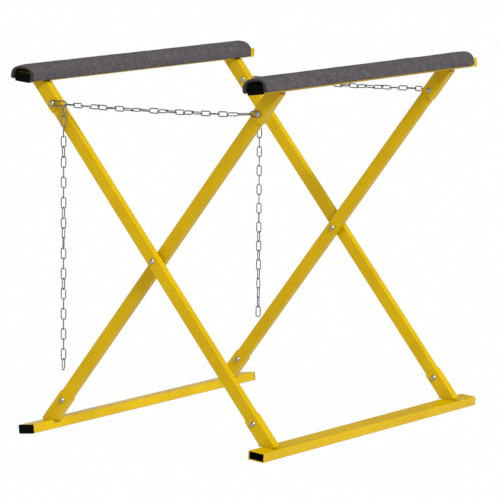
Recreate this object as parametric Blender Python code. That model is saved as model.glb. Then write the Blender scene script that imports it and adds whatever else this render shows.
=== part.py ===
"""Folding sawhorse: two crossed tube frames that turn about a pair of pivot bolts.

Metres, +Z up. X runs across the crossed frames and Y along the rails, with the near end at -Y. The origin is
on the floor, below the middle of the stand. Each frame is modelled level about the pivot and leaned into
place by an empty there. A chain has its origin on the hinge that it swings about.
"""

import math

import bmesh
import bpy

GAP = 0.0003  # between parts that touch
ROUND_STEPS = 3  # flats in a rounded corner
SHARP = math.radians(35.0)

# Frames: each leg crosses the pivot and carries a rail at both ends
WELD_ANGLE = math.radians(44.5)  # leg from the vertical while its rails are level
LEAN = math.radians(6.0)  # turn of each frame away from level when the stand is open
RAIL_OUT = 0.426  # rail centre from the pivot, across and up
RAIL_UP = 0.439
BOLT_AT = 0.5225  # socket bolt from the pivot, along the leg
SOCKET_START = 0.5035  # free end of a socket from the pivot, along the leg
TIP_TRIM = 0.009  # cut square off a socket's sharp mitred tip, which leaves a slot at the rail
LEG_HALF = 0.560  # half the length of a leg, both ends inside their sockets

# Tubes: width, height or depth, corner radius, wall
RAIL_W, RAIL_H, RAIL_R, RAIL_WALL = 0.050, 0.025, 0.003, 0.002
SOCKET_W, SOCKET_D, SOCKET_R, SOCKET_WALL = 0.040, 0.025, 0.002, 0.00225
LEG_W, LEG_D, LEG_R, LEG_WALL = 0.0349, 0.0199, 0.0015, 0.002

# Along Y, from the middle plane of the legs
OUTER_Y = 0.4585  # middle of the outer sockets and legs
INNER_Y = 0.4285
RAIL_NEAR, RAIL_FAR = -0.532, 0.545  # a tube that ends in caps
OPEN_NEAR, OPEN_FAR = -0.5345, 0.5475  # an end with no cap
FOAM_NEAR, FOAM_FAR = -0.5373, 0.514

# Foam sleeve, an arch over the top rail, from the rail's centre
FOAM_HALF, FOAM_CROWN, FOAM_POWER = 0.0375, 0.0340, 2.5
BORE_HALF, BORE_CROWN, BORE_POWER = 0.0260, 0.0222, 3.6
FOAM_HEM = -0.0075  # height of the lower edges
FOAM_STEPS = 16
CROWN_FLAT = 0.012  # width of the level strip that carries the work

# End caps
CAP_FLANGE, CAP_DEPTH = 0.0025, 0.012
CAP_SLACK = 0.0008  # between spigot and tube, both sides together

# Bolts and nuts
BOLT_R, HOLE_R = 0.004, 0.0044
HEAD_R, HEAD_H = 0.0075, 0.0055
NUT_HALF, NUT_H = 0.0065, 0.0065  # half the width across flats
BOLT_END = 0.002  # thread past the nut
SPACER_R = 0.009
BOLT_SIDES = 16

# Chains
PITCH = 0.02765
LINK_WIRE = 0.0036  # hook link and end ring
LINK_BORE = 0.005  # inner radius of their bows
HOOK_REACH = 0.0465  # from the bolt to the inside of the hook's far bow
RING_REACH = 0.0235
HOOK_STRAND, RING_STRAND = 10, 11  # links of the two halves of a spreader chain
NEAR_TAIL, FAR_TAIL = 26, 25  # links of the loose tails
NEAR_TAIL_BACK, FAR_TAIL_BACK = 0.003, 0.010  # a tail hangs this far inside its hook's bow
CHAIN_R = 0.0022
CHAIN_SAG = 0.004
STRAND_FROM = 0.010  # where a chain starts, from the hinge in the bow
HOOK_STRAND_Y, RING_STRAND_Y, TAIL_Y = 0.4757, 0.4710, 0.4804
RING_Y = 0.4455  # the ring strand starts here and moves out past the outer legs
RING_OUT_AT = 0.085  # distance from the bolt at which it is out

FRAMES = {"outer": 1, "inner": -1}  # side of the floor rail: +X or -X
SIDES = {"near": -1, "far": 1}


def rounded(width, height, radius):
    """Outline of a rectangle with rounded corners, as (across, up) points."""
    points = []
    for corner, (sx, sy) in enumerate([(1, 1), (-1, 1), (-1, -1), (1, -1)]):
        for step in range(ROUND_STEPS + 1):
            angle = math.pi / 2 * (corner + step / ROUND_STEPS)
            across = sx * (width / 2 - radius) + radius * math.cos(angle)
            up = sy * (height / 2 - radius) + radius * math.sin(angle)
            points.append((across, up))
    return points


RAIL_OUTLINE = rounded(RAIL_W, RAIL_H, RAIL_R)
PIVOT_Z = max(
    (RAIL_OUT + across) * math.sin(LEAN) + (RAIL_UP + up) * math.cos(LEAN)
    for across, up in RAIL_OUTLINE
)
MID_Y = -(FOAM_NEAR + RAIL_FAR + GAP + CAP_FLANGE) / 2  # middle plane of the legs, from the origin
OPEN_ANGLE = WELD_ANGLE - LEAN


def loft(name, loops, ring=False):
    """Closed mesh through loops of equal length; a ring joins its last loop to its first."""
    build = bmesh.new()
    rows = [[build.verts.new(point) for point in loop] for loop in loops]
    pairs = list(zip(rows, rows[1:]))
    if ring:
        pairs.append((rows[-1], rows[0]))
    else:
        build.faces.new(rows[0])
        build.faces.new(rows[-1])
    for low, high in pairs:
        for i in range(len(low)):
            j = (i + 1) % len(low)
            build.faces.new((low[i], low[j], high[j], high[i]))
    bmesh.ops.recalc_face_normals(build, faces=build.faces)
    mesh = bpy.data.meshes.new(name)
    build.to_mesh(mesh)
    build.free()
    return mesh


def circle(radius, along):
    """Loop round the Y axis."""
    turns = [math.tau * (i + 0.5) / BOLT_SIDES for i in range(BOLT_SIDES)]
    return [(radius * math.cos(turn), along, radius * math.sin(turn)) for turn in turns]


def bolt_hole(height):
    """Cutter for a bolt hole along Y at a height on the Z axis."""
    ends = [circle(HOLE_R, along) for along in (-0.1, 0.1)]
    return loft("hole", [[(x, y, z + height) for x, y, z in loop] for loop in ends])


def block_above(height):
    """Cutter for everything above a height on the Z axis."""
    square = [(-0.1, -0.1), (0.1, -0.1), (0.1, 0.1), (-0.1, 0.1)]
    return loft("block", [[(x, y, z) for x, y in square] for z in (height, height + 0.1)])


def cut(mesh, cutter_meshes):
    """The mesh with each cutter taken out of it."""
    blank = bpy.data.objects.new("blank", mesh)
    bpy.context.collection.objects.link(blank)
    cutters = []
    for cutter_mesh in cutter_meshes:
        cutter = bpy.data.objects.new("cutter", cutter_mesh)
        cutter.display_type = "WIRE"
        cutter.hide_render = True
        bpy.context.collection.objects.link(cutter)
        taken = blank.modifiers.new("taken", "BOOLEAN")
        taken.operation = "DIFFERENCE"
        taken.solver = "EXACT"
        taken.object = cutter
        cutters.append(cutter)
    depsgraph = bpy.context.evaluated_depsgraph_get()
    result = bpy.data.meshes.new_from_object(blank.evaluated_get(depsgraph))
    result.name = mesh.name
    for spare in [blank, *cutters]:
        bpy.data.objects.remove(spare)
    return result


def material(name, colour, roughness, metallic):
    made = bpy.data.materials.new(name)
    made.use_nodes = True
    shader = made.node_tree.nodes["Principled BSDF"]
    shader.inputs["Base Color"].default_value = (*colour, 1.0)
    shader.inputs["Roughness"].default_value = roughness
    shader.inputs["Metallic"].default_value = metallic
    made.diffuse_color = (*colour, 1.0)
    return made


def make_materials():
    return {
        "yellow_paint": material("yellow_paint", (0.72, 0.47, 0.008), 0.35, 0.0),
        "grey_foam": material("grey_foam", (0.10, 0.10, 0.105), 0.95, 0.0),
        "black_plastic": material("black_plastic", (0.008, 0.008, 0.009), 0.45, 0.0),
        "zinc_steel": material("zinc_steel", (0.55, 0.55, 0.56), 0.35, 1.0),
        "chain_steel": material("chain_steel", (0.42, 0.42, 0.43), 0.35, 1.0),
    }


def place(name, data, look, parent=None, at=(0.0, 0.0, 0.0), turn=(0.0, 0.0, 0.0)):
    """Put a mesh or curve in the scene as one named piece."""
    piece = bpy.data.objects.new(name, data)
    bpy.context.collection.objects.link(piece)
    piece.parent = parent
    piece.location = at
    piece.rotation_euler = turn
    if not data.materials:
        data.materials.append(look)
    if isinstance(data, bpy.types.Mesh):
        data.shade_smooth()
        data.set_sharp_from_angle(angle=SHARP)
    return piece


def frame_empty(name, lean):
    """Empty on the pivot axis that carries one level frame and leans it."""
    empty = bpy.data.objects.new(name, None)
    bpy.context.collection.objects.link(empty)
    empty.location = (0.0, MID_Y, PIVOT_Z)
    empty.rotation_euler = (0.0, lean, 0.0)
    return empty


def rail_mesh(near, far):
    """Rounded tube along Y, open at both ends."""
    bore = rounded(RAIL_W - 2 * RAIL_WALL, RAIL_H - 2 * RAIL_WALL, RAIL_R - RAIL_WALL / 2)
    loops = [
        [(across, along, up) for across, up in outline]
        for outline, along in ((RAIL_OUTLINE, near), (RAIL_OUTLINE, far), (bore, far), (bore, near))
    ]
    return loft("rail", loops, ring=True)


def socket_mesh():
    """Box tube along Z, square at its free end and mitred to lie on the rail's flat face, its tip trimmed."""
    rail_face = RAIL_UP - RAIL_H / 2 - GAP
    outer = rounded(SOCKET_W, SOCKET_D, SOCKET_R)
    bore = rounded(SOCKET_W - 2 * SOCKET_WALL, SOCKET_D - 2 * SOCKET_WALL, SOCKET_R / 4)

    def mitred(outline):
        return [
            (across, depth, (rail_face - across * math.sin(WELD_ANGLE)) / math.cos(WELD_ANGLE))
            for across, depth in outline
        ]

    def square(outline):
        return [(across, depth, SOCKET_START) for across, depth in outline]

    tube = loft("socket", [square(outer), mitred(outer), mitred(bore), square(bore)], ring=True)
    tip = (rail_face + SOCKET_W / 2 * math.sin(WELD_ANGLE)) / math.cos(WELD_ANGLE)
    return cut(tube, [bolt_hole(BOLT_AT), block_above(tip - TIP_TRIM)])


def leg_mesh():
    """Box tube along Z, drilled for the pivot and for a bolt in each socket."""
    outer = rounded(LEG_W, LEG_D, LEG_R)
    bore = rounded(LEG_W - 2 * LEG_WALL, LEG_D - 2 * LEG_WALL, LEG_R - LEG_WALL / 2)
    loops = [
        [(across, depth, end) for across, depth in outline]
        for outline, end in ((outer, -LEG_HALF), (outer, LEG_HALF), (bore, LEG_HALF), (bore, -LEG_HALF))
    ]
    holes = [bolt_hole(height) for height in (-BOLT_AT, 0.0, BOLT_AT)]
    return cut(loft("leg", loops, ring=True), holes)


def superellipse(angle, half, crown, power):
    """Point at a polar angle on a squarish arch."""
    radius = (abs(math.cos(angle)) / half) ** power + (math.sin(angle) / crown) ** power
    radius **= -1.0 / power
    return radius * math.cos(angle), radius * math.sin(angle)


def crown_strip():
    """Ends of the strip on the arch that is level once the frame leans, on the outboard side of the crown."""
    slope = (math.tan(LEAN) * FOAM_HALF / FOAM_CROWN) ** (1.0 / (FOAM_POWER - 1.0))
    height = (1.0 + slope**FOAM_POWER) ** (-1.0 / FOAM_POWER)
    middle = (-slope * height * FOAM_HALF, height * FOAM_CROWN)
    reach = CROWN_FLAT / 2
    return [
        (middle[0] + end * reach * math.cos(LEAN), middle[1] + end * reach * math.sin(LEAN))
        for end in (-1, 1)
    ]


def foam_section():
    """Pairs of outer and inner points from the left hem over the crown to the right hem."""
    left, right = crown_strip()
    section = [((-FOAM_HALF, FOAM_HEM), (-BORE_HALF, FOAM_HEM))]
    for step in range(FOAM_STEPS + 1):
        angle = math.pi * (1.0 - step / FOAM_STEPS)
        outer = superellipse(angle, FOAM_HALF, FOAM_CROWN, FOAM_POWER)
        if not left[0] - 0.001 < outer[0] < right[0] + 0.001:
            section.append((outer, superellipse(angle, BORE_HALF, BORE_CROWN, BORE_POWER)))
    for outer in (left, right):
        angle = math.atan2(outer[1], outer[0])
        section.append((outer, superellipse(angle, BORE_HALF, BORE_CROWN, BORE_POWER)))
    section[1:] = sorted(section[1:], key=lambda pair: pair[0][0])
    section.append(((FOAM_HALF, FOAM_HEM), (BORE_HALF, FOAM_HEM)))
    return section


def foam_mesh(mirror):
    """Foam arch along Y; mirror is -1 for the rail whose outboard side is +X."""
    loops = []
    for outer, inner in foam_section():
        corners = (outer, FOAM_NEAR), (outer, FOAM_FAR), (inner, FOAM_FAR), (inner, FOAM_NEAR)
        loops.append([(mirror * across, along, up) for (across, up), along in corners])
    return loft("foam", loops)


def cap_mesh(end):
    """Flange and spigot; the flange's inner face is at Y 0 and end is the side that it faces."""
    spigot = rounded(
        RAIL_W - 2 * RAIL_WALL - CAP_SLACK, RAIL_H - 2 * RAIL_WALL - CAP_SLACK, RAIL_R - RAIL_WALL / 2
    )
    steps = (
        (RAIL_OUTLINE, CAP_FLANGE),
        (RAIL_OUTLINE, 0.0),
        (spigot, 0.0),
        (spigot, -CAP_DEPTH),
    )
    loops = [[(across, end * along, up) for across, up in outline] for outline, along in steps]
    return loft("cap", loops)


def bolt_mesh(grip):
    """Domed bolt along Y, the underside of its head at Y 0."""
    head = ((0.45, -1.0), (0.82, -0.78), (0.98, -0.36), (1.0, 0.0))
    loops = [circle(HEAD_R * wide, HEAD_H * tall) for wide, tall in head]
    loops += [circle(BOLT_R, 0.0), circle(BOLT_R, grip + NUT_H + BOLT_END)]
    return loft("bolt", loops)


def nut_mesh():
    """Hexagon along Y with a plain hole, its bearing face at Y 0."""
    sides = 12
    outer = []
    for i in range(sides):
        turn = math.tau * i / sides
        radius = NUT_HALF if i % 2 else NUT_HALF / math.cos(math.pi / 6)
        outer.append((radius * math.cos(turn), radius * math.sin(turn)))
    inner = [
        (HOLE_R * math.cos(math.tau * i / sides), HOLE_R * math.sin(math.tau * i / sides))
        for i in range(sides)
    ]
    loops = [
        [(across, along, up) for across, up in outline]
        for outline, along in ((outer, 0.0), (outer, NUT_H), (inner, NUT_H), (inner, 0.0))
    ]
    return loft("nut", loops, ring=True)


def washer_mesh(thickness):
    """Plain ring along Y, centred."""
    half = thickness / 2
    loops = [circle(SPACER_R, -half), circle(SPACER_R, half), circle(HOLE_R, half), circle(HOLE_R, -half)]
    return loft("spacer", loops, ring=True)


def wire(name, points, radius, closed=False):
    """Round wire through points, as a poly curve with filled ends."""
    curve = bpy.data.curves.new(name, "CURVE")
    curve.dimensions = "3D"
    curve.resolution_u = 1
    curve.render_resolution_u = 0
    curve.bevel_depth = radius
    curve.bevel_resolution = 2
    curve.use_fill_caps = not closed
    spline = curve.splines.new("POLY")
    spline.points.add(len(points) - 1)
    for knot, point in zip(spline.points, points):
        knot.co = (*point, 1.0)
    spline.use_cyclic_u = closed
    return curve


def link_points(reach, way):
    """Centreline of a long link in the XZ plane that holds the bolt at the origin and reaches out along X."""
    bow = LINK_BORE + LINK_WIRE / 2
    back = LINK_BORE - BOLT_R - GAP
    steps = 8
    points = []
    for middle, start in ((reach - LINK_BORE, -0.5), (back, 0.5)):
        for step in range(steps + 1):
            angle = math.pi * (start + step / steps)
            points.append((way * (middle + bow * math.cos(angle)), 0.0, bow * math.sin(angle)))
    return points


def smooth(value):
    value = min(max(value, 0.0), 1.0)
    return value * value * (3.0 - 2.0 * value)


def sag(along, span):
    """Drop of a spreader chain at a distance from its left bolt."""
    return -CHAIN_SAG * (1.0 - (2.0 * along / span - 1.0) ** 2)


def hook_strand_points(side, span):
    """Half of a spreader chain on the hook's side, from its hinge in the hook's bow."""
    points = []
    for link in range(HOOK_STRAND + 1):
        out = max(link * PITCH, STRAND_FROM)
        points.append((out, side * HOOK_STRAND_Y, sag(HOOK_REACH + out, span)))
    return points


def ring_strand_points(side, span):
    """Half of a spreader chain on the ring's side, from its hinge at the bolt."""
    points = []
    steps = 2 * (RING_STRAND + 1)
    end = RING_REACH + RING_STRAND * PITCH
    start = RING_REACH + LINK_WIRE + 2 * GAP
    for step in range(steps + 1):
        out = start + (end - start) * step / steps
        y = RING_Y + (RING_STRAND_Y - RING_Y) * smooth(out / RING_OUT_AT)
        points.append((-out, side * y, sag(span - out, span)))
    return points


def tail_points(side, links):
    """Loose chain that hangs straight down from its hinge on the hook."""
    return [
        (0.0, side * TAIL_Y, -max(link * PITCH, STRAND_FROM))
        for link in range(links + 1)
    ]


def add_rails(side, parent, looks):
    """Top and floor rail of one frame, the foam on the top one, and the caps."""
    top_side, floor_side = ("left", "right") if side > 0 else ("right", "left")
    top = (-side * RAIL_OUT, 0.0, RAIL_UP)
    floor = (side * RAIL_OUT, 0.0, -RAIL_UP)
    yellow, black = looks["yellow_paint"], looks["black_plastic"]
    floor_near, floor_far = (OPEN_NEAR, OPEN_FAR) if side > 0 else (RAIL_NEAR, RAIL_FAR)
    place(f"{top_side}_top_rail", rail_mesh(RAIL_NEAR, OPEN_FAR), yellow, parent, top)
    place(f"{floor_side}_floor_rail", rail_mesh(floor_near, floor_far), yellow, parent, floor)
    place(f"{top_side}_rail_foam", foam_mesh(side), looks["grey_foam"], parent, top)
    caps = [(f"{top_side}_top_rail_cap", top, RAIL_NEAR, -1)]
    if side < 0:
        caps.append((f"{floor_side}_floor_rail_near_cap", floor, RAIL_NEAR, -1))
        caps.append((f"{floor_side}_floor_rail_far_cap", floor, RAIL_FAR, 1))
    for name, rail, end, way in caps:
        place(name, cap_mesh(way), black, parent, (rail[0], end + way * GAP, rail[2]))


def add_bolt(name, parent, at, faces, under_head, under_nut, looks):
    """Bolt and nut through a stack between two Y faces, with what is clamped under the head and the nut."""
    head = faces[0] - GAP - under_head
    nut = faces[1] + GAP + under_nut
    zinc = looks["zinc_steel"]
    place(f"{name}_bolt", bolt_mesh(nut - head), zinc, parent, (at[0], head, at[1]))
    place(f"{name}_nut", nut_mesh(), zinc, parent, (at[0], nut, at[1]))


def add_legs(frame, side, parent, looks, socket, leg):
    """Sockets, legs and socket bolts of one frame, at both ends of its rails."""
    clamped = LINK_WIRE + GAP
    yellow = looks["yellow_paint"]
    half_turn = 0.0 if side > 0 else math.pi
    for end, way in SIDES.items():
        y = way * (OUTER_Y if frame == "outer" else INNER_Y)
        place(f"{end}_{frame}_leg", leg, yellow, parent, (0.0, y, 0.0), (0.0, -WELD_ANGLE, half_turn))
        for height, up in (("top", 1), ("floor", -1)):
            tip = -WELD_ANGLE + (0.0 if up > 0 else math.pi)
            name = f"{end}_{frame}_{height}"
            place(f"{name}_socket", socket, yellow, parent, (0.0, y, 0.0), (0.0, tip, half_turn))
            at = (-side * up * BOLT_AT * math.sin(WELD_ANGLE), up * BOLT_AT * math.cos(WELD_ANGLE))
            faces = (y - SOCKET_D / 2, y + SOCKET_D / 2)
            link = clamped if height == "top" else 0.0
            under_head, under_nut = (link, 0.0) if way < 0 else (0.0, link)
            add_bolt(name, parent, at, faces, under_head, under_nut, looks)


def add_pivots(parent, looks):
    """Pivot bolts through both legs, with a spacer in the gap between them."""
    room = OUTER_Y - INNER_Y - LEG_D
    for end, way in SIDES.items():
        faces = sorted((way * (OUTER_Y + LEG_D / 2), way * (INNER_Y - LEG_D / 2)))
        add_bolt(f"{end}_pivot", parent, (0.0, 0.0), faces, 0.0, 0.0, looks)
        spacer = washer_mesh(room - 2 * GAP)
        middle = (0.0, way * (OUTER_Y + INNER_Y) / 2, 0.0)
        place(f"{end}_pivot_spacer", spacer, looks["zinc_steel"], parent, middle)


def add_chains(looks):
    """Hook links, end rings, spreader chains and tails, in the open position."""
    steel = looks["chain_steel"]
    reach = BOLT_AT * math.sin(OPEN_ANGLE)
    height = PIVOT_Z + BOLT_AT * math.cos(OPEN_ANGLE)
    span = 2.0 * reach
    socket_face = SOCKET_D / 2 + GAP + LINK_WIRE / 2
    for end, way in SIDES.items():
        hook_y = MID_Y + way * (OUTER_Y + socket_face)
        ring_y = MID_Y + way * (INNER_Y + socket_face)
        hook = wire(f"{end}_hook_link", link_points(HOOK_REACH, 1), LINK_WIRE / 2, closed=True)
        place(f"{end}_hook_link", hook, steel, None, (-reach, hook_y, height))
        ring = wire(f"{end}_end_ring", link_points(RING_REACH, -1), LINK_WIRE / 2, closed=True)
        place(f"{end}_end_ring", ring, steel, None, (reach, ring_y, height))
        hinge = (-reach + HOOK_REACH, MID_Y, height)
        strand = wire(f"{end}_hook_strand", hook_strand_points(way, span), CHAIN_R)
        place(f"{end}_hook_strand", strand, steel, None, hinge)
        strand = wire(f"{end}_ring_strand", ring_strand_points(way, span), CHAIN_R)
        place(f"{end}_ring_strand", strand, steel, None, (reach, MID_Y, height))
        links, back = (NEAR_TAIL, NEAR_TAIL_BACK) if end == "near" else (FAR_TAIL, FAR_TAIL_BACK)
        tail_hinge = (hinge[0] - back, MID_Y, height - LINK_BORE - LINK_WIRE / 2)
        tail = wire(f"{end}_chain_tail", tail_points(way, links), CHAIN_R)
        place(f"{end}_chain_tail", tail, steel, None, tail_hinge)


def main():
    for old in list(bpy.data.objects):
        bpy.data.objects.remove(old)
    looks = make_materials()
    socket = socket_mesh()
    leg = leg_mesh()
    for frame, side in FRAMES.items():
        parent = frame_empty(f"{frame}_frame", side * LEAN)
        add_rails(side, parent, looks)
        add_legs(frame, side, parent, looks, socket, leg)
        if frame == "outer":
            add_pivots(parent, looks)
    add_chains(looks)


main()
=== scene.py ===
"""Folding sawhorse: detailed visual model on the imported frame. Metres, +Z up, the near end at -Y."""

import math
import random

import bmesh
import bpy
from mathutils import Matrix, Quaternion, Vector, noise


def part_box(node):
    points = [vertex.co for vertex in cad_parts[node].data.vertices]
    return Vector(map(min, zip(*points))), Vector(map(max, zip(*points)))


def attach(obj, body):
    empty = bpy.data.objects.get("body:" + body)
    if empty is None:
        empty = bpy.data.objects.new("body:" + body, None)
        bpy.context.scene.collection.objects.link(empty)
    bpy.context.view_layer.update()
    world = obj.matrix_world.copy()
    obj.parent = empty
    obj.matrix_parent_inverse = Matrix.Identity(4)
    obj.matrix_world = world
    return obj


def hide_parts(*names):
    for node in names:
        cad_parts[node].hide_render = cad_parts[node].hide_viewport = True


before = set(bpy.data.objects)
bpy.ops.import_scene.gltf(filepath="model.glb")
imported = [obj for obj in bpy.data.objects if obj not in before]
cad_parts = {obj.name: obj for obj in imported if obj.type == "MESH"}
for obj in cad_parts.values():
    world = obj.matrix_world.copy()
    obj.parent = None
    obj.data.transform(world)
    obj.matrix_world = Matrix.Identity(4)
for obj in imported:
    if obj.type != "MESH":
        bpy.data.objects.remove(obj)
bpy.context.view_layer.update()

# Frame geometry, repeated from the CAD source
WELD_ANGLE = math.radians(44.5)
LEAN = math.radians(6.0)
RAIL_OUT, RAIL_UP = 0.426, 0.439
RAIL_W, RAIL_H, RAIL_WALL = 0.050, 0.025, 0.002
SOCKET_W, SOCKET_D, SOCKET_R, SOCKET_WALL = 0.040, 0.025, 0.002, 0.00225
LEG_HALF = 0.560
TIP_TRIM = 0.009
GAP = 0.0003
OUTER_Y, INNER_Y = 0.4585, 0.4285
RAIL_NEAR, OPEN_NEAR, OPEN_FAR = -0.532, -0.5345, 0.5475
FOAM_NEAR, FOAM_FAR = -0.5373, 0.514
FOAM_HALF, FOAM_CROWN, FOAM_POWER = 0.0375, 0.0340, 2.5
BORE_HALF, BORE_CROWN, BORE_POWER = 0.0260, 0.0222, 3.6
FOAM_HEM = -0.0075
BOLT_R, HEAD_R, HEAD_H = 0.004, 0.0075, 0.0055
NUT_HALF, NUT_H = 0.0065, 0.0065

# Chains, repeated from the CAD source
PITCH = 0.02765
LINK_WIRE, LINK_BORE = 0.0036, 0.005
HOOK_REACH, RING_REACH = 0.0465, 0.0235
HOOK_STRAND, RING_STRAND = 10, 11
TAIL_LINKS = {"near": 26, "far": 25}  # the far one may have 26: about 5 of its links are out of sight
TAIL_BACK = {"near": 0.003, "far": 0.010}  # how far inside its hook's bow a tail hangs
TAIL_SLANT = 0.011  # the tails hang this much off the stand's own upright, as the stand is not quite level
CHAIN_SAG = 0.004
HOOK_STRAND_Y, RING_STRAND_Y, TAIL_Y = 0.4757, 0.4710, 0.4804
RING_Y, RING_OUT_AT = 0.4455, 0.085
CHAIN_WIRE = 0.0032
CHAIN_WIDTH = 0.0155

SIDES = {"near": -1, "far": 1}
FRAMES = {"outer": 1, "inner": -1}


def centre(node):
    low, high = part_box(node)
    return (low + high) / 2


MID_Y = (centre("near_outer_leg").y + centre("far_outer_leg").y) / 2
PIVOT_Z = centre("near_pivot_bolt").z
LEFT_BOLT = centre("near_outer_top_bolt")
RIGHT_BOLT = centre("near_inner_top_bolt")


def add_camera():
    """The photograph's viewpoint, from a least-squares fit to points picked on the stand."""
    data = bpy.data.cameras.new("camera")
    camera = bpy.data.objects.new("camera", data)
    bpy.context.collection.objects.link(camera)
    bpy.context.scene.camera = camera
    azimuth, elevation, roll = 0.593336, 0.128154, -0.002131
    back = Vector(
        (
            math.sin(azimuth) * math.cos(elevation),
            -math.cos(azimuth) * math.cos(elevation),
            math.sin(elevation),
        )
    )
    target = Vector((-0.00135, MID_Y + 0.00117, PIVOT_Z - 0.01973))
    distance = 10.659
    camera.location = target + back * distance
    camera.rotation_mode = "QUATERNION"
    aim = (-back).to_track_quat("-Z", "Y")
    camera.rotation_quaternion = aim @ Quaternion((0.0, 0.0, 1.0), roll)
    data.sensor_width = 36.0
    data.lens = 276.8
    data.clip_start, data.clip_end = 0.1, 200.0


# Materials


class Look:
    """A procedural material while it is built; coordinates are the object's own, in metres."""

    def __init__(self, name, roughness, metallic=0.0, specular=0.5):
        self.material = bpy.data.materials.new(name)
        self.material.use_nodes = True
        self.nodes = self.material.node_tree.nodes
        self.links = self.material.node_tree.links
        self.shader = self.nodes["Principled BSDF"]
        self.shader.inputs["Roughness"].default_value = roughness
        self.shader.inputs["Metallic"].default_value = metallic
        self.shader.inputs["Specular IOR Level"].default_value = specular
        self.place = self.nodes.new("ShaderNodeTexCoord").outputs["Object"]

    def stretched(self, scale):
        mapping = self.nodes.new("ShaderNodeMapping")
        mapping.inputs["Scale"].default_value = scale
        self.links.new(self.place, mapping.inputs["Vector"])
        return mapping.outputs["Vector"]

    def noise(self, scale, detail=3.0, rough=0.5, warp=0.0, at=None):
        node = self.nodes.new("ShaderNodeTexNoise")
        node.inputs["Scale"].default_value = scale
        node.inputs["Detail"].default_value = detail
        node.inputs["Roughness"].default_value = rough
        node.inputs["Distortion"].default_value = warp
        self.links.new(at or self.place, node.inputs["Vector"])
        return node.outputs["Fac"]

    def cells(self, scale, feature="F1", at=None):
        node = self.nodes.new("ShaderNodeTexVoronoi")
        node.feature = feature
        node.inputs["Scale"].default_value = scale
        self.links.new(at or self.place, node.inputs["Vector"])
        return node.outputs["Distance"]

    def bent(self, scale, amount):
        """The coordinates pushed about by noise, so that lines on them wander."""
        node = self.nodes.new("ShaderNodeTexNoise")
        node.inputs["Scale"].default_value = scale
        node.inputs["Detail"].default_value = 2.0
        self.links.new(self.place, node.inputs["Vector"])
        push = self.nodes.new("ShaderNodeVectorMath")
        push.operation = "MULTIPLY_ADD"
        push.inputs[1].default_value = (amount, amount, amount)
        self.links.new(node.outputs["Color"], push.inputs[0])
        self.links.new(self.place, push.inputs[2])
        return push.outputs["Vector"]

    def spread(self, value, low, high, to_low=0.0, to_high=1.0):
        node = self.nodes.new("ShaderNodeMapRange")
        for socket, number in zip(("From Min", "From Max", "To Min", "To Max"), (low, high, to_low, to_high)):
            node.inputs[socket].default_value = number
        self.links.new(value, node.inputs["Value"])
        return node.outputs["Result"]

    def maths(self, operation, first, second):
        node = self.nodes.new("ShaderNodeMath")
        node.operation = operation
        for socket, value in zip(node.inputs, (first, second)):
            if isinstance(value, (int, float)):
                socket.default_value = value
            else:
                self.links.new(value, socket)
        return node.outputs["Value"]

    def ramp(self, value, stops):
        node = self.nodes.new("ShaderNodeValToRGB")
        points = node.color_ramp.elements
        while len(points) < len(stops):
            points.new(0.5)
        for point, (where, colour) in zip(points, stops):
            point.position = where
            point.color = (*colour, 1.0)
        self.links.new(value, node.inputs["Fac"])
        return node.outputs["Color"]

    def mix(self, share, first, second, blend="MIX"):
        node = self.nodes.new("ShaderNodeMix")
        node.data_type = "RGBA"
        node.blend_type = blend
        for name, value in (("Factor_Float", share), ("A_Color", first), ("B_Color", second)):
            socket = next(s for s in node.inputs if s.identifier == name)
            if isinstance(value, (int, float)):
                socket.default_value = value
            elif isinstance(value, tuple):
                socket.default_value = (*value, 1.0)
            else:
                self.links.new(value, socket)
        return next(s for s in node.outputs if s.identifier == "Result_Color")

    def colour(self, value):
        self.links.new(value, self.shader.inputs["Base Color"])

    def roughness(self, value):
        self.links.new(value, self.shader.inputs["Roughness"])

    def bump(self, height, strength, distance):
        node = self.nodes.new("ShaderNodeBump")
        node.inputs["Strength"].default_value = strength
        node.inputs["Distance"].default_value = distance
        self.links.new(height, node.inputs["Height"])
        earlier = self.shader.inputs["Normal"].links
        if earlier:
            self.links.new(earlier[0].from_socket, node.inputs["Normal"])
        self.links.new(node.outputs["Normal"], self.shader.inputs["Normal"])


def paint_look(name, light, dark, scuff):
    """Sprayed enamel over steel: slow drift in shade, orange peel, a few rubbed and dusty patches."""
    look = Look(name, 0.38, specular=0.07)
    drift = look.noise(7.0, 4.0, 0.6, 0.4)
    base = look.ramp(look.spread(drift, 0.3, 0.7), [(0.0, dark), (1.0, light)])
    fine = look.noise(260.0, 2.0)
    base = look.mix(look.spread(fine, 0.35, 0.7, 0.0, 0.10), base, tuple(0.72 * part for part in dark))
    streaks = look.noise(1.0, 5.0, 0.7, 0.3, at=look.stretched((70.0, 70.0, 22.0)))
    marks = look.spread(streaks, 0.66, 0.80, 0.0, 0.40)
    base = look.mix(marks, base, scuff)
    dust = look.spread(look.noise(38.0, 5.0, 0.65), 0.62, 0.80, 0.0, 0.12)
    base = look.mix(dust, base, (0.52, 0.38, 0.03))
    look.colour(base)
    look.roughness(look.spread(look.noise(55.0, 4.0, 0.6), 0.3, 0.7, 0.24, 0.46))
    look.bump(look.noise(420.0, 2.0), 0.10, 0.0006)
    look.bump(look.noise(30.0, 2.0), 0.10, 0.0015)
    look.shader.inputs["Coat Weight"].default_value = 0.08
    look.shader.inputs["Coat Roughness"].default_value = 0.15
    return look.material


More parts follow.
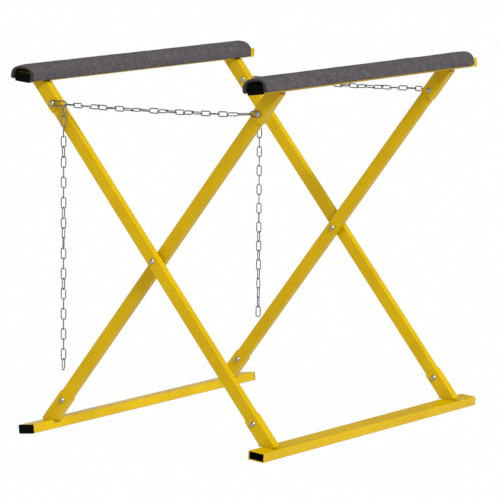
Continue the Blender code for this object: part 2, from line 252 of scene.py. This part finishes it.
def foam_look(name, light, dark, line):
    """Closed-cell foam: mottled skin, fine pores and faint crease lines."""
    look = Look(name, 0.93, specular=0.12)
    patches = look.noise(62.0, 6.0, 0.72, 0.8)
    base = look.ramp(look.spread(patches, 0.28, 0.72), [(0.0, dark), (1.0, light)])
    grain = look.noise(170.0, 4.0, 0.7)
    base = look.mix(look.spread(grain, 0.38, 0.66, 0.0, 0.6), base, tuple(0.55 * part for part in dark))
    veins = look.cells(24.0, "DISTANCE_TO_EDGE", at=look.bent(22.0, 0.035))
    vein = look.spread(veins, 0.0, 0.050, 0.22, 0.0)
    vein = look.maths("MULTIPLY", vein, look.spread(look.noise(13.0, 2.0), 0.42, 0.60))
    base = look.mix(vein, base, line)
    pores = look.cells(620.0)
    base = look.mix(look.spread(pores, 0.0, 0.35, 0.45, 0.0), base, tuple(0.4 * part for part in dark))
    look.colour(base)
    look.roughness(look.spread(patches, 0.3, 0.7, 0.86, 0.98))
    look.bump(grain, 0.55, 0.0016)
    look.bump(pores, 0.35, 0.0008)
    look.bump(look.spread(veins, 0.0, 0.08), 0.12, 0.0010)
    look.shader.inputs["Sheen Weight"].default_value = 0.04
    look.shader.inputs["Sheen Roughness"].default_value = 0.6
    return look.material


def plastic_look(name):
    """Moulded plug: near black, faint swirl and fine spark texture."""
    look = Look(name, 0.45, specular=0.03)
    swirl = look.noise(60.0, 4.0, 0.6, 1.2)
    stops = [(0.0, (0.0008, 0.0006, 0.0007)), (1.0, (0.0022, 0.0018, 0.0020))]
    look.colour(look.ramp(look.spread(swirl, 0.3, 0.7), stops))
    look.roughness(look.spread(look.noise(90.0, 4.0), 0.3, 0.7, 0.34, 0.55))
    look.bump(look.noise(900.0, 2.0), 0.25, 0.0004)
    return look.material


def steel_look(name, light, dark, rough, tint):
    """Zinc plate on steel: cloudy grey, a little blue or straw, with dull patches."""
    look = Look(name, sum(rough) / 2, metallic=1.0)
    cloud = look.noise(140.0, 4.0, 0.6, 0.5)
    base = look.ramp(look.spread(cloud, 0.28, 0.72), [(0.0, dark), (1.0, light)])
    base = look.mix(look.spread(look.noise(45.0, 3.0), 0.5, 0.7, 0.0, 0.35), base, tint)
    look.colour(base)
    look.roughness(look.spread(look.noise(240.0, 4.0, 0.65), 0.3, 0.7, *rough))
    look.bump(look.noise(700.0, 3.0), 0.22, 0.0004)
    return look.material


YELLOW = paint_look("yellow_enamel", (0.565, 0.366, 0.0), (0.49, 0.306, 0.0), (0.38, 0.20, 0.0))
WELD = paint_look("painted_weld", (0.48, 0.29, 0.0), (0.33, 0.18, 0.0), (0.20, 0.09, 0.0))
FOAM = foam_look("foam_skin", (0.122, 0.106, 0.121), (0.042, 0.036, 0.041), (0.14, 0.125, 0.135))
# Darker copy of the foam skin for the sleeve's end faces: painted shade.
FOAM_END_PAINTED_SHADE = foam_look("foam_end_painted_shade", (0.050, 0.046, 0.048), (0.020, 0.018, 0.018), (0.06, 0.056, 0.058))
# Near-black foam for the bore over the rail: painted shade in the hollow under the arch.
FOAM_BORE_PAINTED_SHADE = foam_look("foam_bore_painted_shade", (0.010, 0.010, 0.011), (0.005, 0.005, 0.005), (0.014, 0.014, 0.014))
BLACK = plastic_look("moulded_black")
ZINC = steel_look("zinc_plate", (0.43, 0.43, 0.44), (0.27, 0.27, 0.28), (0.38, 0.56), (0.36, 0.34, 0.30))
# Chain zinc darker than the bolts': the dark grey is a painted reflection of dark surroundings.
CHAIN = steel_look("chain_zinc_painted_dark_reflection", (0.30, 0.30, 0.31), (0.11, 0.11, 0.118), (0.24, 0.42), (0.21, 0.205, 0.185))
# Near-black metal for the insides of open tubes and trimmed socket tips: painted shade in the hollows.
BORE_PAINTED_SHADE = steel_look(
    "tube_bore_painted_shade", (0.012, 0.010, 0.009), (0.005, 0.004, 0.004), (0.6, 0.8), (0.016, 0.011, 0.008)
)


# Mesh helpers


def new_piece(name, mesh, looks, smooth=True):
    piece = bpy.data.objects.new(name, mesh)
    bpy.context.collection.objects.link(piece)
    for look in looks:
        mesh.materials.append(look)
    if smooth:
        mesh.shade_smooth()
        mesh.set_sharp_from_angle(angle=math.radians(40.0))
    return piece


def tube(points, radii, sides, closed=False, normal=Vector((0.0, 1.0, 0.0))):
    """Vertices and faces of a round tube through points, with a radius at each."""
    count = len(points)
    verts, faces = [], []
    for i, point in enumerate(points):
        after = points[(i + 1) % count] if closed or i + 1 < count else point
        before = points[i - 1] if closed or i else point
        along = (after - before).normalized()
        across = along.cross(normal).normalized()
        up = across.cross(along)
        for s in range(sides):
            turn = math.tau * s / sides
            verts.append(point + radii[i] * (across * math.cos(turn) + up * math.sin(turn)))
    for i in range(count if closed else count - 1):
        j = (i + 1) % count
        for s in range(sides):
            t = (s + 1) % sides
            faces.append((i * sides + s, i * sides + t, j * sides + t, j * sides + s))
    if not closed:
        faces.append(tuple(range(sides)))
        faces.append(tuple(range((count - 1) * sides, count * sides))[::-1])
    return verts, faces


def made_mesh(name, verts, faces):
    mesh = bpy.data.meshes.new(name)
    mesh.from_pydata([tuple(vert) for vert in verts], [], faces)
    mesh.update()
    work = bmesh.new()
    work.from_mesh(mesh)
    bmesh.ops.recalc_face_normals(work, faces=work.faces)
    work.to_mesh(mesh)
    work.free()
    return mesh


def smooth(value):
    value = min(max(value, 0.0), 1.0)
    return value * value * (3.0 - 2.0 * value)


# Chains


def long_link(half_straight, bow, wire, sides=10, steps=10, weld=0.0):
    """Link round its centre in the XY plane, long in X, with a weld swelling on one straight side."""
    points, radii = [], []
    for middle, start in ((half_straight, -0.5), (-half_straight, 0.5)):
        for step in range(steps + 1):
            angle = math.pi * (start + step / steps)
            points.append(Vector((middle + bow * math.cos(angle), bow * math.sin(angle), 0.0)))
            radii.append(wire / 2)
        if weld and start < 0.0:
            for across, swell in ((0.0016, 0.0), (0.0007, weld), (-0.0007, weld), (-0.0016, 0.0)):
                points.append(Vector((across, bow, 0.0)))
                radii.append(wire / 2 * (1.0 + swell))
    return tube(points, radii, sides, closed=True, normal=Vector((0.0, 0.0, 1.0)))


def chain_mesh(name, joints, rolls):
    """Links between successive joints; a roll of 0 shows a link's face to the side, 90 its edge."""
    bow = (CHAIN_WIDTH - CHAIN_WIRE) / 2
    link_verts, link_faces = long_link((PITCH + CHAIN_WIRE) / 2 - bow, bow, CHAIN_WIRE, weld=0.16)
    verts, faces = [], []
    for start, end, roll in zip(joints, joints[1:], rolls):
        along = (end - start).normalized()
        flat = Vector((0.0, 1.0, 0.0)).cross(along).normalized()
        out = along.cross(flat)
        turn = math.radians(roll)
        wide = flat * math.cos(turn) + out * math.sin(turn)
        thick = along.cross(wide)
        middle = (start + end) / 2
        base = len(verts)
        verts += [middle + along * v.x + wide * v.y + thick * v.z for v in link_verts]
        faces += [tuple(base + i for i in face) for face in link_faces]
    return made_mesh(name, verts, faces)


def drifting_rolls(count, first, seed):
    """Each link about a quarter turn from the last, give or take."""
    dice = random.Random(seed)
    rolls = [first]
    while len(rolls) < count:
        rolls.append(rolls[-1] + 90.0 + dice.uniform(-34.0, 34.0))
    return rolls


def sag(along, span):
    return -CHAIN_SAG * (1.0 - (2.0 * along / span - 1.0) ** 2)


def hook_strand_joints(side, span, hook_y):
    hinge = Vector((LEFT_BOLT.x + HOOK_REACH, MID_Y, LEFT_BOLT.z))
    joints = []
    for link in range(HOOK_STRAND + 1):
        y = HOOK_STRAND_Y if link else hook_y
        joints.append(hinge + Vector((link * PITCH, side * y, sag(HOOK_REACH + link * PITCH, span))))
    return joints


def ring_strand_joints(side, span, ring_y):
    hinge = Vector((RIGHT_BOLT.x, MID_Y, RIGHT_BOLT.z))
    joints = []
    for link in range(RING_STRAND + 1):
        out = RING_REACH + link * PITCH
        y = RING_Y + (RING_STRAND_Y - RING_Y) * smooth(out / RING_OUT_AT) if link else ring_y
        joints.append(hinge + Vector((-out, side * y, sag(span - out, span))))
    return joints


def tail_joints(side, links, back, hook_y):
    hinge = Vector((LEFT_BOLT.x + HOOK_REACH - back, MID_Y, LEFT_BOLT.z - LINK_BORE - LINK_WIRE / 2))
    joints = []
    for link in range(links + 1):
        y = TAIL_Y if link else hook_y
        joints.append(hinge + Vector((-TAIL_SLANT * link * PITCH, side * y, LINK_WIRE / 2 - link * PITCH)))
    return joints


ROLLS = {
    "near_hook_strand": [90, 15, 88, 140, 190, 275, 185, 240, 298, 245],
    "near_ring_strand": [112, 55, 0, 90, 175, 120, 230, 170, 115, 58, 5],
    "near_chain_tail": [14, 146, 56, 146, 25, 146, 56, 146, 56, 146, 84, 130, 20]
    + [66, 146, 56, 146, 84, 161, 56, 146, 56, 146, 56, 135, 85],
    "far_hook_strand": drifting_rolls(10, 90.0, 11),
    "far_ring_strand": drifting_rolls(11, 95.0, 12),
    "far_chain_tail": 7 * [56, 146] + [60, 150, 85, 135, 80, 128, 82, 11, 83, 35, 146],
}


def add_chain(name, body, joints):
    piece = new_piece(f"{name}_links", chain_mesh(f"{name}_links", joints, ROLLS[name]), [CHAIN])
    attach(piece, body)
    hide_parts(name)


def add_end_link(name, body, bolt, y, reach, way):
    """Hook link or end ring that hangs on a bolt and reaches out along X."""
    back = LINK_BORE - BOLT_R - GAP
    front = reach - LINK_BORE
    bow = LINK_BORE + LINK_WIRE / 2
    verts, faces = long_link((front - back) / 2, bow, LINK_WIRE, sides=14, steps=18, weld=0.14)
    middle = Vector((bolt.x + way * (front + back) / 2, y, bolt.z))
    turned = [middle + Vector((way * v.x, v.z, -v.y)) for v in verts]
    piece = new_piece(f"{name}_wire", made_mesh(f"{name}_wire", turned, faces), [CHAIN])
    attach(piece, body)
    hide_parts(name)


def add_chains():
    span = RIGHT_BOLT.x - LEFT_BOLT.x
    clamped = SOCKET_D / 2 + GAP + LINK_WIRE / 2
    hook_y, ring_y = OUTER_Y + clamped, INNER_Y + clamped
    for end, side in SIDES.items():
        joints = hook_strand_joints(side, span, hook_y)
        add_chain(f"{end}_hook_strand", f"{end}_hook_chain", joints)
        joints = ring_strand_joints(side, span, ring_y)
        add_chain(f"{end}_ring_strand", f"{end}_ring_chain", joints)
        joints = tail_joints(side, TAIL_LINKS[end], TAIL_BACK[end], hook_y)
        add_chain(f"{end}_chain_tail", f"{end}_tail_chain", joints)
        hook_at = MID_Y + side * hook_y
        add_end_link(f"{end}_hook_link", "outer_frame", LEFT_BOLT, hook_at, HOOK_REACH, 1)
        ring_at = MID_Y + side * ring_y
        add_end_link(f"{end}_end_ring", f"{end}_ring_chain", RIGHT_BOLT, ring_at, RING_REACH, -1)


# Foam sleeves


def superellipse(angle, half, crown, power):
    radius = (abs(math.cos(angle)) / half) ** power + (math.sin(angle) / crown) ** power
    radius **= -1.0 / power
    return radius * math.cos(angle), radius * math.sin(angle)


def foam_outline():
    """Closed outline of the arch: over the skin, round a hem, back through the bore, round the other hem.

    Each point carries how far the skin's unevenness moves it, and whether it lies in the bore."""
    steps = 44
    outline = []
    lift = 0.0045
    for rise in (0.0, 0.5):
        outline.append((-FOAM_HALF, FOAM_HEM + lift * (1.0 + rise), 1.0, False))
    for step in range(steps + 1):
        angle = math.pi * (1.0 - step / steps)
        across, up = superellipse(angle, FOAM_HALF, FOAM_CROWN, FOAM_POWER)
        outline.append((across, up, 1.0, False))
    for rise in (0.5, 0.0):
        outline.append((FOAM_HALF, FOAM_HEM + lift * (1.0 + rise), 1.0, False))
    middle = (FOAM_HALF + BORE_HALF) / 2
    wide = (FOAM_HALF - BORE_HALF) / 2
    hem = [math.pi * step / 8 for step in range(1, 8)]
    for angle in hem:
        up = FOAM_HEM + lift * (1.0 - math.sin(angle))
        outline.append((middle + wide * math.cos(angle), up, 0.4, False))
    outline.append((BORE_HALF, FOAM_HEM + lift, 0.0, True))
    for step in range(steps // 2 + 1):
        angle = math.pi * step / (steps // 2)
        across, up = superellipse(angle, BORE_HALF, BORE_CROWN, BORE_POWER)
        outline.append((across, up, 0.0, True))
    outline.append((-BORE_HALF, FOAM_HEM + lift, 0.0, True))
    for angle in hem:
        up = FOAM_HEM + lift * (1.0 - math.sin(angle))
        outline.append((-middle + wide * math.cos(angle), up, 0.4, False))
    return outline


def add_foam(name, body, side, seed):
    """Foam arch over a top rail: uneven skin, softened end edges, shallow dents and lifted hems."""
    outline = foam_outline()
    count = len(outline)
    length = FOAM_FAR - FOAM_NEAR
    inset = (0.0, 0.0006, 0.0016, 0.0032)
    stations = [FOAM_NEAR + s for s in inset]
    rings = 190
    stations += [FOAM_NEAR + 0.006 + (length - 0.012) * ring / rings for ring in range(rings + 1)]
    stations += [FOAM_FAR - s for s in reversed(inset)]
    shrink = {0: 0.0016, 1: 0.0008, 2: 0.0003}
    verts = []
    for index, along in enumerate(stations):
        pinch = shrink.get(min(index, len(stations) - 1 - index), 0.0)
        edge = smooth(min(along - FOAM_NEAR, FOAM_FAR - along) / 0.03)
        for across, up, share, bore in outline:
            radial = Vector((across, 0.0, up + 0.004)).normalized()
            if bore:
                radial = -radial
            spot = Vector((across * 22.0 + seed, along * 9.0, up * 22.0))
            wave = noise.noise(spot) * 0.0007 + noise.noise(spot * 3.7) * 0.00045
            wave += noise.noise(spot * 11.0) * 0.00022
            dent = max(0.0, noise.noise(Vector((along * 5.0, seed, across * 12.0))) - 0.35) * 0.0022
            move = share * (wave * (0.35 + 0.65 * edge) - dent - 0.0004) - pinch
            point = Vector((across, along, up)) + radial * move
            slump = share * (1.0 - smooth((along - FOAM_NEAR) / 0.022))
            point.z -= 0.0032 * slump * max(0.0, up / FOAM_CROWN)
            point.x += 0.0026 * slump * across / FOAM_HALF
            verts.append(Vector((side * point.x, point.y, point.z)))
    faces, inside = [], []
    for ring in range(len(stations) - 1):
        for i in range(count):
            j = (i + 1) % count
            faces.append((ring * count + i, ring * count + j, (ring + 1) * count + j, (ring + 1) * count + i))
            inside.append(outline[i][3] and outline[j][3])
    work = bmesh.new()
    made = [work.verts.new(vert) for vert in verts]
    # Faces in the bore take material 1, the near-black foam: painted shade.
    for face, bore in zip(faces, inside):
        work.faces.new([made[i] for i in face]).material_index = int(bore)
    # The end faces take material 2, the darker foam copy: painted shade.
    for ring in (0, len(stations) - 1):
        end = work.faces.new(made[ring * count : (ring + 1) * count])
        end.material_index = 2
        bmesh.ops.triangulate(work, faces=[end])
    bmesh.ops.recalc_face_normals(work, faces=work.faces)
    mesh = bpy.data.meshes.new(f"{name}_sleeve")
    work.to_mesh(mesh)
    work.free()
    at = Matrix.Translation((0.0, MID_Y, PIVOT_Z)) @ Matrix.Rotation(side * LEAN, 4, "Y")
    at = at @ Matrix.Translation((-side * RAIL_OUT, 0.0, RAIL_UP))
    mesh.transform(at)
    piece = new_piece(f"{name}_sleeve", mesh, [FOAM, FOAM_BORE_PAINTED_SHADE, FOAM_END_PAINTED_SHADE])
    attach(piece, body)
    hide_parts(name)


# Rail bores


def add_rail_bore(name, body, side, up, near):
    """Painted shade in the bore of a rail whose far end is taken to be open: a thin near-black sheet just
    inside the steel.
    """
    half_w, half_h = RAIL_W / 2 - RAIL_WALL - GAP, RAIL_H / 2 - RAIL_WALL - GAP
    far, lining = OPEN_FAR - 0.003, 0.0004
    verts = []
    for thin, along in ((0.0, near), (0.0, far), (lining, far), (lining, near)):
        for sx, sz in ((-1, -1), (1, -1), (1, 1), (-1, 1)):
            verts.append(Vector((sx * (half_w - thin), along, sz * (half_h - thin))))
    faces = []
    for ring in range(4):
        following = (ring + 1) % 4
        for i in range(4):
            j = (i + 1) % 4
            faces.append((ring * 4 + i, ring * 4 + j, following * 4 + j, following * 4 + i))
    mesh = made_mesh(name, verts, faces)
    at = Matrix.Translation((0.0, MID_Y, PIVOT_Z)) @ Matrix.Rotation(side * LEAN, 4, "Y")
    mesh.transform(at @ Matrix.Translation((-side * up * RAIL_OUT, 0.0, up * RAIL_UP)))
    piece = new_piece(name, mesh, [BORE_PAINTED_SHADE], smooth=False)
    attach(piece, body)


# Welds, bolts and nuts


def socket_matrix(frame_name, side, y, up):
    """From a socket's own axes, its length along Z from the pivot, to the row frame."""
    tip = -WELD_ANGLE + (0.0 if up > 0 else math.pi)
    flip = 0.0 if side > 0 else math.pi
    return (
        Matrix.Translation((0.0, MID_Y, PIVOT_Z))
        @ Matrix.Rotation(side * LEAN, 4, "Y")
        @ Matrix.Translation((0.0, y, 0.0))
        @ Matrix.Rotation(flip, 4, "Z")
        @ Matrix.Rotation(tip, 4, "Y")
    )


def weld_path():
    """Points of the seam on the rail's flat face, from the trimmed tip round the blunt side and back."""
    face = RAIL_UP - RAIL_H / 2 - GAP
    half_w, half_d = SOCKET_W / 2 + 0.0004, SOCKET_D / 2 + 0.0004
    start = -SOCKET_W / 2 + TIP_TRIM / math.tan(WELD_ANGLE) + 0.001
    corner = SOCKET_R
    plan = []
    steps = 34
    for step in range(steps + 1):
        plan.append((start + (half_w - corner - start) * step / steps, -half_d))
    for step in range(1, 5):
        angle = -math.pi / 2 + math.pi / 2 * step / 5
        plan.append((half_w - corner + corner * math.cos(angle), -half_d + corner + corner * math.sin(angle)))
    across = 18
    for step in range(across + 1):
        plan.append((half_w, -half_d + corner + (2 * half_d - 2 * corner) * step / across))
    for step in range(1, 5):
        angle = math.pi / 2 * step / 5
        plan.append((half_w - corner + corner * math.cos(angle), half_d - corner + corner * math.sin(angle)))
    for step in range(steps + 1):
        plan.append((half_w - corner + (start - half_w + corner) * step / steps, half_d))
    return [
        Vector((x, y, (face - x * math.sin(WELD_ANGLE)) / math.cos(WELD_ANGLE) - 0.0004)) for x, y in plan
    ]


def add_weld(name, body, matrix, seed):
    """Rippled bead round the foot of a socket."""
    path = weld_path()
    dice = random.Random(seed)
    radii = []
    for i in range(len(path)):
        ripple = 0.5 + 0.5 * math.cos(math.tau * i / 2.6)
        radii.append(0.0015 + 0.0005 * ripple + dice.uniform(-0.00018, 0.00018))
    for end in (0, -1):
        radii[end] *= 0.55
    verts, faces = tube(path, radii, 8, normal=Vector((0.0, 0.0, 1.0)))
    mesh = made_mesh(name, verts, faces)
    mesh.transform(matrix)
    piece = new_piece(name, mesh, [WELD])
    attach(piece, body)


def add_tip_shade_or_weld(name, body, matrix, filled):
    """What shows at a socket's trimmed tip: a near-black sheet set back in it, painted shade in the gap, or
    weld that fills it.
    """
    lean, rise = math.sin(WELD_ANGLE), math.cos(WELD_ANGLE)
    face = RAIL_UP - RAIL_H / 2 - GAP
    half_w = SOCKET_W / 2 - SOCKET_WALL - 0.0001
    half_d = SOCKET_D / 2 - SOCKET_WALL - 0.0001
    short = 0.0006
    trim = (face + SOCKET_W / 2 * lean) / rise - TIP_TRIM
    foot = LEG_HALF + 0.0005
    side = [(-half_w, foot), (half_w, foot), (half_w, (face - half_w * lean) / rise - short)]
    if filled:
        side.append((-half_w, (face + half_w * lean) / rise - short))
    else:
        side += [((face - trim * rise) / lean, trim - short), (-half_w, trim - short)]
    verts = [Vector((x, depth, z)) for depth in (-half_d, half_d) for x, z in side]
    count = len(side)
    faces = [tuple(range(count)), tuple(range(count, 2 * count))]
    faces += [(i, (i + 1) % count, (i + 1) % count + count, i + count) for i in range(count)]
    mesh = made_mesh(name, verts, faces)
    mesh.transform(matrix)
    # An open tip gets the near-black painted shade; a filled one gets weld.
    piece = new_piece(name, mesh, [WELD if filled else BORE_PAINTED_SHADE], smooth=False)
    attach(piece, body)


def turned(profile, sides=28):
    """Vertices and faces of a shape turned about the Y axis; profile is (radius, along) pairs."""
    verts, faces = [], []
    for radius, along in profile:
        for s in range(sides):
            turn = math.tau * s / sides
            verts.append(Vector((radius * math.cos(turn), along, radius * math.sin(turn))))
    for ring in range(len(profile) - 1):
        for s in range(sides):
            t = (s + 1) % sides
            low, high = ring * sides, (ring + 1) * sides
            faces.append((low + s, low + t, high + t, high + s))
    faces.append(tuple(range(sides)))
    faces.append(tuple(range((len(profile) - 1) * sides, len(profile) * sides))[::-1])
    return verts, faces


def add_bolt(name, body):
    """Domed head with a narrow rolled rim, plain shank, and a threaded end past the nut."""
    low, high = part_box(name)
    middle = centre(name)
    length = high.y - low.y
    shank = length - HEAD_H
    profile = [(0.0012, -HEAD_H), (0.0030, -HEAD_H * 0.965), (0.0046, -HEAD_H * 0.86)]
    profile += [(0.0058, -HEAD_H * 0.68), (0.0066, -HEAD_H * 0.46), (0.0070, -HEAD_H * 0.24)]
    profile += [(0.0074, -HEAD_H * 0.18), (HEAD_R, -HEAD_H * 0.08), (0.0073, 0.0), (BOLT_R, 0.0)]
    thread = shank - 0.011
    profile.append((BOLT_R, thread))
    turns = 10
    for turn in range(turns):
        along = thread + (shank - 0.0006 - thread) * (turn + 0.5) / turns
        profile.append((BOLT_R * 0.90, along - 0.00028))
        profile.append((BOLT_R * 0.995, along + 0.00022))
    profile.append((BOLT_R * 0.80, shank))
    verts, faces = turned(profile)
    mesh = made_mesh(f"{name}_zinc", verts, faces)
    mesh.transform(Matrix.Translation((middle.x, low.y + HEAD_H, middle.z)))
    piece = new_piece(f"{name}_zinc", mesh, [ZINC])
    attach(piece, body)
    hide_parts(name)


def add_nut(name, body, lean):
    """Hexagon nut with turned chamfers and a rounded locking collar."""
    low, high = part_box(name)
    middle = centre(name)
    hexagon = NUT_HALF / math.cos(math.pi / 6)
    rows = ((0.0, 0.90), (0.0006, 1.0), (NUT_H * 0.66, 1.0), (NUT_H * 0.74, 0.90))
    sides = 36
    verts = []
    for along, limit in rows:
        for s in range(sides):
            turn = math.tau * s / sides
            wedge = (turn + math.pi / 6) % (math.pi / 3) - math.pi / 6
            radius = min(NUT_HALF / math.cos(wedge), hexagon * limit)
            verts.append(Vector((radius * math.cos(turn), along, radius * math.sin(turn))))
    for radius, along in ((0.0058, 0.76), (0.0057, 0.92), (0.0052, 1.0), (0.0044, 0.985), (0.0044, 0.0)):
        for s in range(sides):
            turn = math.tau * s / sides
            verts.append(Vector((radius * math.cos(turn), NUT_H * along, radius * math.sin(turn))))
    rings = len(verts) // sides
    faces = []
    for ring in range(rings):
        following = (ring + 1) % rings
        for s in range(sides):
            t = (s + 1) % sides
            faces.append((ring * sides + s, ring * sides + t, following * sides + t, following * sides + s))
    mesh = made_mesh(f"{name}_zinc", verts, faces)
    mesh.transform(Matrix.Translation((middle.x, low.y, middle.z)) @ Matrix.Rotation(lean, 4, "Y"))
    piece = new_piece(f"{name}_zinc", mesh, [ZINC])
    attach(piece, body)
    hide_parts(name)


def add_hardware():
    seed = 100
    for frame_name, side in FRAMES.items():
        body = f"{frame_name}_frame"
        for end, way in SIDES.items():
            y = way * (OUTER_Y if frame_name == "outer" else INNER_Y)
            for height, up in (("top", 1), ("floor", -1)):
                seed += 1
                name = f"{end}_{frame_name}_{height}"
                matrix = socket_matrix(frame_name, side, y, up)
                add_weld(f"{name}_weld", body, matrix, seed)
                add_tip_shade_or_weld(f"{name}_socket_bore", body, matrix, side != up)
                add_bolt(f"{name}_bolt", body)
                add_nut(f"{name}_nut", body, seed * 0.37)
    for end in SIDES:
        add_bolt(f"{end}_pivot_bolt", "outer_frame")
        add_nut(f"{end}_pivot_nut", "outer_frame", 0.2)


def dress_cad_nodes():
    """Materials, and softened edges on the plugs, for the CAD nodes that stay."""
    for name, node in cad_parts.items():
        if name.endswith("_cap"):
            look = BLACK
            bevel = node.modifiers.new("soft_edge", "BEVEL")
            bevel.width = 0.0007
            bevel.segments = 3
            bevel.limit_method = "ANGLE"
        elif name.endswith("spacer"):
            look = ZINC
        else:
            look = YELLOW
        node.data.materials.clear()
        node.data.materials.append(look)


# Stage


def add_sun(name, direction, strength, softness, colour):
    """Parallel light that comes from a direction, so that it falls evenly over the whole floor."""
    data = bpy.data.lights.new(name, "SUN")
    data.energy = strength
    data.angle = math.radians(softness)
    data.color = colour
    lamp = bpy.data.objects.new(name, data)
    bpy.context.collection.objects.link(lamp)
    lamp.location = Vector(direction) * 5.0
    lamp.rotation_mode = "QUATERNION"
    lamp.rotation_quaternion = (-Vector(direction)).to_track_quat("-Z", "Y")


def add_stage():
    """White floor that gives its own light, so it shows no shadows, and rises into a low wall far off.

    The light on the stand is mostly from the upper right."""
    mesh = bpy.data.meshes.new("floor")
    sides, reach, low, high = 64, 60.0, -0.0002, 8.0
    turns = [math.tau * i / sides for i in range(sides)]
    rim = [(reach * math.cos(turn), reach * math.sin(turn)) for turn in turns]
    verts = [(x, y, z) for z in (low, high) for x, y in rim]
    walls = [(i, (i + 1) % sides, (i + 1) % sides + sides, i + sides) for i in range(sides)]
    mesh.from_pydata(verts, [], [tuple(range(sides)), *walls])
    look = Look("lit_white_floor", 0.9, specular=0.0)
    look.shader.inputs["Base Color"].default_value = (0.02, 0.02, 0.02, 1.0)
    look.shader.inputs["Emission Color"].default_value = (1.0, 1.0, 1.0, 1.0)
    look.shader.inputs["Emission Strength"].default_value = 0.97
    floor = new_piece("floor", mesh, [look.material], smooth=False)
    world = bpy.data.worlds.new("studio")
    bpy.context.scene.world = world
    world.use_nodes = True
    background = world.node_tree.nodes["Background"]
    background.inputs["Color"].default_value = (1.0, 1.0, 1.0, 1.0)
    background.inputs["Strength"].default_value = 0.28
    add_sun("key", (0.72, -0.26, 0.64), 3.4, 14.0, (0.97, 1.0, 0.94))
    add_sun("front", (0.12, -0.93, 0.34), 0.65, 24.0, (1.0, 0.97, 0.96))
    add_sun("top", (0.05, -0.10, 0.99), 0.4, 50.0, (1.0, 1.0, 1.0))
    bpy.context.scene.view_settings.view_transform = "Standard"
    bpy.context.scene.view_settings.look = "None"


add_camera()
add_chains()
add_foam("left_rail_foam", "outer_frame", 1, 3.1)
add_foam("right_rail_foam", "inner_frame", -1, 17.4)
add_rail_bore("left_top_rail_bore", "outer_frame", 1, 1, RAIL_NEAR + 0.014)
add_rail_bore("right_floor_rail_bore", "outer_frame", 1, -1, OPEN_NEAR + 0.003)
add_rail_bore("right_top_rail_bore", "inner_frame", -1, 1, RAIL_NEAR + 0.014)
add_hardware()
dress_cad_nodes()
add_stage()
